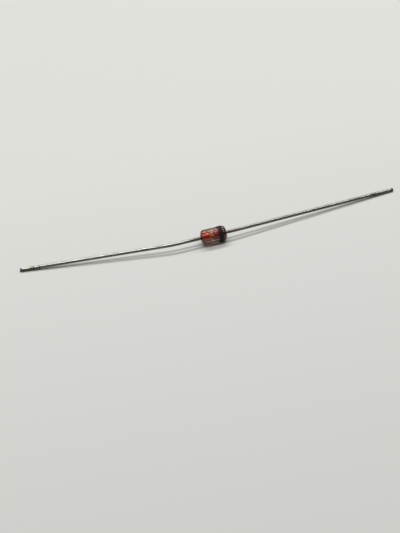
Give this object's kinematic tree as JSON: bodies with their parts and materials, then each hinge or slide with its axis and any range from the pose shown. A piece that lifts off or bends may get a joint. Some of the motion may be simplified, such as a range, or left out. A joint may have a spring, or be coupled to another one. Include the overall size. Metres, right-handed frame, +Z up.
{
  "type": "zener diode",
  "caption": "Axial-lead zener diode: a clear glass sleeve sealed on two red slugs with a silicon chip between them, a black cathode band and two tinned wire leads.",
  "frame": {"origin": "on the surface that the diode lies on, below the middle of its bounding box", "axes": "+X along the glass body towards the cathode, +Y towards the side that both leads are bent to, +Z up from the surface"},
  "size_m": [0.0552, 0.0054, 0.0023],
  "materials": {
    "clear_glass": "clear with a faint brown tint, flame-polished at the ends",
    "red_oxide_copper": "red copper oxide under glass",
    "silicon": "sawn silicon, tan under its coating, with a silvered back",
    "silver": "plated silver",
    "tinned_wire": "hot-tinned, slightly dull",
    "band_paint": "black ink, baked on"
  },
  "bodies": {
    "root": {"glass_sleeve": "clear_glass", "anode_slug": "red_oxide_copper", "cathode_slug": "red_oxide_copper", "silicon_die": "silicon", "contact_bump": "silver", "anode_lead": "tinned_wire", "cathode_lead": "tinned_wire", "cathode_band": "band_paint"}
  },
  "joints": []
}
